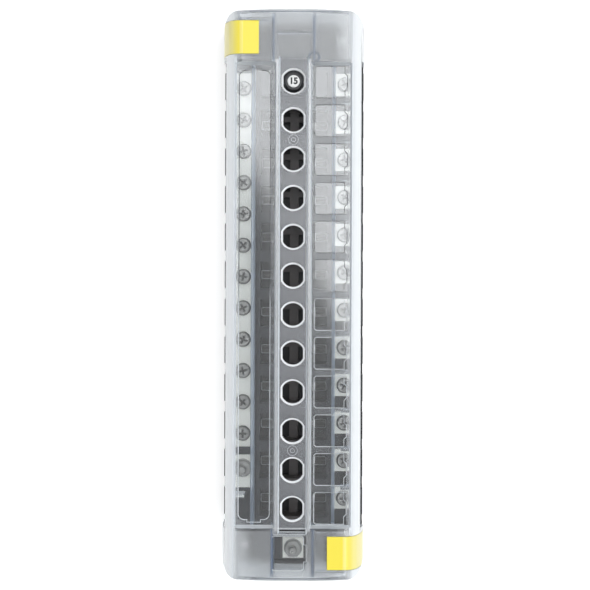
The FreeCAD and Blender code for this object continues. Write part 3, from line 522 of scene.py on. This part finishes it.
def smooth_twin(node, name, body, material):
    """A welded copy of a CAD node's mesh, with smooth faces between its sharp edges."""
    mesh = nodes[node].data.copy()
    work = bmesh.new()
    work.from_mesh(mesh)
    bmesh.ops.remove_doubles(work, verts=work.verts, dist=1e-6)
    bmesh.ops.dissolve_limit(work, angle_limit=math.radians(0.5), verts=work.verts,
                             edges=work.edges)
    work.to_mesh(mesh)
    work.free()
    if "custom_normal" in mesh.attributes:
        mesh.attributes.remove(mesh.attributes["custom_normal"])
    mesh.polygons.foreach_set("use_smooth", [True] * len(mesh.polygons))
    mesh.set_sharp_from_angle(angle=math.radians(28))
    twin = own(link_object(name, mesh), body, material)
    weights = twin.modifiers.new("flat faces stay flat", "WEIGHTED_NORMAL")
    weights.mode = "FACE_AREA"
    weights.weight = 100
    weights.keep_sharp = True
    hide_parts(node)
    return twin


def dress_nodes():
    """Puts a material of the scene in every slot that the CAD nodes name."""
    for obj in nodes.values():
        for material_slot in obj.material_slots:
            base = material_slot.material.name.split(".")[0]
            material_slot.material = BY_SLOT[base]


def dress_cover(shell):
    """Gives the hole chamfers, the end ribs, the long barriers and the rails painted light: a white
    highlight on the chamfers, shade on the end ribs, a blue for the light along the barriers and a
    pale highlight on the rails.
    """
    mesh = shell.data
    for material in (painted_rim_highlight_and_marks, rib_painted_shade, barrier_painted_light, rail_painted_highlight):
        mesh.materials.append(material)
    for face in mesh.polygons:
        x, y, z = abs(face.center.x), abs(face.center.y), face.center.z
        tilt = abs(face.normal.z)
        depth = TOP - z
        chamfer = HOLE_CHAMFER_TILT[0] < tilt < HOLE_CHAMFER_TILT[1]
        end_rib = END_RIB_X[0] < x < END_RIB_X[1] and ROW_HALF < y < RIB_REACH_Y
        barrier = BARRIER_X[0] < x < BARRIER_X[1] and y < ROW_HALF
        rail = tilt < RAIL_TILT and y < PANEL_HALF and any(a < x < b for a, b in EDGES_X)
        if chamfer and x < HOLE_REACH and y < ROW_HALF and depth < HOLE_DEPTH:
            face.material_index = 1
        elif end_rib and depth > RIB_DEPTH:
            face.material_index = 2
        elif barrier and depth > FACE_DEPTH:
            face.material_index = 3
        elif rail and depth < RAIL_DEPTH:
            face.material_index = 4


def line_curve(name, radius):
    """A round line, to be drawn along the paths that are added to it."""
    curve = bpy.data.curves.new(name, "CURVE")
    curve.dimensions = "3D"
    curve.bevel_depth = radius
    curve.bevel_resolution = 1
    return curve


def add_path(curve, points, closed):
    spline = curve.splines.new("POLY")
    spline.points.add(len(points) - 1)
    for target, point in zip(spline.points, points):
        target.co = (*point, 1)
    spline.use_cyclic_u = closed


def rounded_loop(curve, x, y, z, half_x, half_y, radius):
    """A closed line round a rectangle with rounded corners, or round a circle."""
    steps = 8
    points = []
    for corner, (side_x, side_y) in enumerate(((1, 1), (-1, 1), (-1, -1), (1, -1))):
        for step in range(steps + 1):
            turn = math.pi / 2 * (corner + step / steps)
            points.append((x + side_x * (half_x - radius) + radius * math.cos(turn),
                           y + side_y * (half_y - radius) + radius * math.sin(turn), z))
    add_path(curve, points, True)


def window_lines(source):
    """A fine line along each small step in the cover's face, which is how its windows show."""
    mesh = source.data
    neighbours = {}
    for face in mesh.polygons:
        heights = [mesh.vertices[i].co.z for i in face.vertices]
        low = min(heights)
        step = max(heights) - low
        if abs(face.normal.z) > 0.1 or low < TOP - FACE_DEPTH:
            continue
        if not LINE_STEP[0] < step < LINE_STEP[1]:
            continue
        for a, b in face.edge_keys:
            if mesh.vertices[a].co.z - low < 1e-5 and mesh.vertices[b].co.z - low < 1e-5:
                neighbours.setdefault(a, set()).add(b)
                neighbours.setdefault(b, set()).add(a)
    curve = line_curve("window_lines", LINE_RADIUS)
    while neighbours:
        start = min(neighbours, key=lambda i: len(neighbours[i]))
        path = [start]
        while True:
            here = path[-1]
            onward = neighbours.get(here)
            if not onward:
                neighbours.pop(here, None)
                break
            following = onward.pop()
            neighbours[following].discard(here)
            if not onward:
                neighbours.pop(here, None)
            path.append(following)
        if len(path) < 3:
            continue
        closed = path[0] == path[-1]
        if closed:
            path.pop()
        add_path(curve, [mesh.vertices[index].co for index in path], closed)
    own(link_object("window_lines", curve), "root", line_material)


def plate_marks(source):
    """Moulded rings on the plate near each end of the row, and the frame of the slot below it."""
    plate = max(v.co.z for v in source.data.vertices
                if abs(v.co.x) < HOLE_REACH and abs(v.co.y) < ROW_HALF)
    curve = line_curve("plate_marks", MARK_LINE)
    for y in (MARK_Y, -MARK_Y):
        for radius in MARK_RADII:
            rounded_loop(curve, 0, y, plate - MARK_LINE, radius, radius, radius)
    (left, right), (low, high) = END_SLOT_X, END_SLOT_Y
    rounded_loop(curve, (left + right) / 2, (low + high) / 2, TOP - MARK_LINE,
                 (right - left) / 2, (high - low) / 2, END_SLOT_CORNER)
    # The rings and the frame are drawn in the same white as the hole rims' painted highlight
    own(link_object("plate_marks", curve), "root", painted_rim_highlight_and_marks)


def slot_lines():
    """Painted highlights: pale lines round the rims of the two blade slots in each empty socket."""
    curve = line_curve("slot_lines", MARK_LINE)
    for index in range(1, POSITIONS):
        for x in (-BLADE_X, BLADE_X):
            rounded_loop(curve, x, FIRST_Y - index * PITCH, SOCKET_FLOOR,
                         BLADE_SLOT[0] / 2 + SLOT_RIM, BLADE_SLOT[1] / 2 + SLOT_RIM, SLOT_CORNER)
    own(link_object("slot_lines", curve), "root", painted_slot_highlight)


def end_rib_lines():
    """The upper edges of the end ribs, which show blue through the cover's face: a painted colour
    for the light along them.
    """
    curve = line_curve("end_rib_lines", RIB_LINE)
    z = TOP - RIB_LINE - RIB_LINE_COVER
    for x in (-END_RIB, END_RIB):
        for side in (-1, 1):
            add_path(curve, [(x, side * y, z) for y in RIB_LINE_Y], False)
    own(link_object("end_rib_lines", curve), "root", rib_painted_light)


def screw_centres(node):
    """The middle of each screw's head in a CAD node that holds a row of screws."""
    mesh = nodes[node].data
    top = max(v.co.z for v in mesh.vertices)
    head = sorted((v.co.y, v.co.x) for v in mesh.vertices if v.co.z > top - 0.0001)
    rows = [[head[0]]]
    for point in head[1:]:
        if point[0] - rows[-1][-1][0] > SCREW_SPACING:
            rows.append([])
        rows[-1].append(point)
    centres = []
    for row in rows:
        across = [point[1] for point in row]
        centres.append(((min(across) + max(across)) / 2, (row[0][0] + row[-1][0]) / 2))
    return centres, min(v.co.z for v in mesh.vertices), top


def cross_screw(work, x, y, low, top, turn):
    """One pan-head screw: a rounded head with a cross recess, on a plain shank."""
    sides = 28
    rings = ((SHANK_RADIUS, low), (SHANK_RADIUS, top - HEAD_HEIGHT),
             (HEAD_RADIUS, top - HEAD_HEIGHT), (HEAD_RADIUS, top - 0.5 * HEAD_HEIGHT),
             (0.93 * HEAD_RADIUS, top - 0.2 * HEAD_HEIGHT), (0.80 * HEAD_RADIUS, top))
    angles = [2 * math.pi * i / sides for i in range(sides)]
    loops = []
    for radius, z in rings:
        loops.append([work.verts.new((x + radius * math.cos(a), y + radius * math.sin(a), z))
                      for a in angles])
    work.faces.new(loops[0][::-1])
    for lower, upper in zip(loops, loops[1:]):
        for i in range(sides):
            work.faces.new((lower[i - 1], lower[i], upper[i], upper[i - 1]))
    corners = []
    for quarter in range(4):
        a = turn + quarter * math.pi / 2
        for u, v in ((RECESS_REACH, -RECESS_HALF), (RECESS_REACH, RECESS_HALF),
                     (RECESS_HALF, RECESS_HALF)):
            corners.append((u * math.cos(a) - v * math.sin(a), u * math.sin(a) + v * math.cos(a)))
    rim = [work.verts.new((x + u, y + v, top)) for u, v in corners]
    bottom = [work.verts.new((x + RECESS_TAPER * u, y + RECESS_TAPER * v, top - RECESS_DEPTH))
              for u, v in corners]
    for i in range(len(rim)):
        work.faces.new((bottom[i - 1], bottom[i], rim[i], rim[i - 1]))
    work.faces.new(bottom)
    outer = [work.edges.get((loops[-1][i - 1], loops[-1][i])) for i in range(sides)]
    inner = [work.edges.get((rim[i - 1], rim[i])) for i in range(len(rim))]
    bmesh.ops.triangle_fill(work, use_beauty=True, edges=outer + inner)


def shade_recess(mesh):
    """The recess and the side of each head get a painted shade."""
    mesh.materials.append(recess_painted_shade)
    rim = max(v.co.z for v in mesh.vertices) - 0.5 * RECESS_DEPTH
    for face in mesh.polygons:
        heights = [mesh.vertices[i].co.z for i in face.vertices]
        if abs(face.normal.z) < 0.35 or max(heights) < rim:
            face.material_index = 1


def cross_screws(node):
    """Screws with a cross recess in place of a CAD node's plain ones, each turned its own way."""
    centres, low, top = screw_centres(node)
    work = bmesh.new()
    for index, (x, y) in enumerate(centres):
        cross_screw(work, x, y, low, top, SCREW_TURN * index)
    bmesh.ops.recalc_face_normals(work, faces=work.faces)
    mesh = bpy.data.meshes.new(node + "_cross")
    work.to_mesh(mesh)
    work.free()
    mesh.polygons.foreach_set("use_smooth", [True] * len(mesh.polygons))
    mesh.set_sharp_from_angle(angle=math.radians(40))
    obj = own(link_object(node + "_cross", mesh), "root", steel)
    shade_recess(mesh)
    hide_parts(node)


def button_number():
    """The rating on the button's cap."""
    low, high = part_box("breaker_reset_button")
    text = bpy.data.curves.new("button_number", "FONT")
    text.body = "15"
    text.size = NUMBER_SIZE
    text.offset = NUMBER_WEIGHT
    text.align_x = "CENTER"
    text.align_y = "CENTER"
    text.extrude = NUMBER_THICKNESS
    text.space_character = NUMBER_SPACING
    obj = link_object("button_number", text)
    obj.location = ((low.x + high.x) / 2, (low.y + high.y) / 2, high.z + NUMBER_THICKNESS)
    own(obj, "reset_button", ink)


# Stage

def background_rays(tree):
    """1 for the rays that look at the background, straight or by way of metal or glass."""
    path = tree.nodes.new("ShaderNodeLightPath").outputs
    seen = math_node(tree, "MAXIMUM", path["Is Camera Ray"], path["Is Glossy Ray"])
    return math_node(tree, "MAXIMUM", seen, path["Is Transmission Ray"])


def floor():
    """A plain pale floor that keeps the object's shadow and shows white to the camera."""
    material, tree, output = new_material("floor")
    diffuse = tree.nodes.new("ShaderNodeBsdfDiffuse")
    diffuse.inputs["Color"].default_value = (FLOOR_GREY, FLOOR_GREY, FLOOR_GREY, 1)
    glow = tree.nodes.new("ShaderNodeEmission")
    glow.inputs["Color"].default_value = (1, 1, 1, 1)
    link(tree, multiply(tree, background_rays(tree), FLOOR_GLOW), glow.inputs["Strength"])
    add = tree.nodes.new("ShaderNodeAddShader")
    link(tree, diffuse.outputs[0], add.inputs[0])
    link(tree, glow.outputs[0], add.inputs[1])
    link(tree, add.outputs[0], output.inputs[0])
    mesh = bpy.data.meshes.new("floor")
    corners = [(FLOOR_REACH * x, FLOOR_REACH * y, 0)
               for x, y in ((-1, -1), (1, -1), (1, 1), (-1, 1))]
    mesh.from_pydata(corners, [], [(0, 1, 2, 3)])
    obj = link_object("floor", mesh)
    obj.location.z = cad_box[0].z - FLOOR_GAP
    mesh.materials.append(material)


def studio():
    """A white room, and a soft light bank over the upper end of the block."""
    world = bpy.data.worlds.new("studio")
    bpy.context.scene.world = world
    world.use_nodes = True
    tree = world.node_tree
    tree.nodes.clear()
    output = tree.nodes.new("ShaderNodeOutputWorld")
    background = tree.nodes.new("ShaderNodeBackground")
    coordinates = tree.nodes.new("ShaderNodeTexCoord")
    axes = tree.nodes.new("ShaderNodeSeparateXYZ")
    link(tree, coordinates.outputs["Generated"], axes.inputs[0])
    x, y, z = axes.outputs
    slant = math_node(tree, "MULTIPLY_ADD", x, BANK_SKEW, y)
    bank = multiply(tree, smooth_range(tree, slant, *BANK_EDGE), smooth_range(tree, y, *BANK_FAR))
    side = smooth_range(tree, math_node(tree, "ABSOLUTE", x), *BANK_SIDE)
    bank = multiply(tree, bank, side)
    strength = math_node(tree, "MULTIPLY_ADD", bank, BANK, FILL)
    horizon = remap(tree, z, *HORIZON, 1, 0)
    path = tree.nodes.new("ShaderNodeLightPath")
    backdrop = multiply(tree, background_rays(tree), horizon)
    backdrop = math_node(tree, "MAXIMUM", backdrop, path.outputs["Is Camera Ray"], clamp=True)
    seen = tree.nodes.new("ShaderNodeMix")
    seen.data_type = "FLOAT"
    link(tree, backdrop, seen.inputs["Factor"])
    link(tree, strength, seen.inputs["A"])
    seen.inputs["B"].default_value = 1.0
    link(tree, seen.outputs["Result"], background.inputs["Strength"])
    background.inputs["Color"].default_value = (*ROOM_TINT, 1)
    link(tree, background.outputs[0], output.inputs[0])


def camera():
    """Looks straight down, from where the photograph was taken."""
    data = bpy.data.cameras.new("camera")
    obj = link_object("camera", data)
    data.sensor_width = SENSOR
    data.lens = SENSOR * CAMERA_ABOVE_FACE / FACE_WIDTH_IN_VIEW
    data.shift_x = SHIFT_X
    data.shift_y = SHIFT_Y
    data.clip_start = 0.01
    data.clip_end = 20
    obj.location = (CAMERA_X, CAMERA_Y, FACE_Z + CAMERA_ABOVE_FACE)
    obj.rotation_euler = (0, 0, ROLL)
    bpy.context.scene.camera = obj


dress_nodes()
shell = smooth_twin("cover", "clear_cover", "root", clear)
dress_cover(shell)
window_lines(shell)
plate_marks(shell)
slot_lines()
end_rib_lines()
cross_screws("load_terminal_screws")
cross_screws("negative_bus_screws")
button_number()
floor()
studio()
camera()

scene = bpy.context.scene
scene.view_settings.view_transform = "Standard"
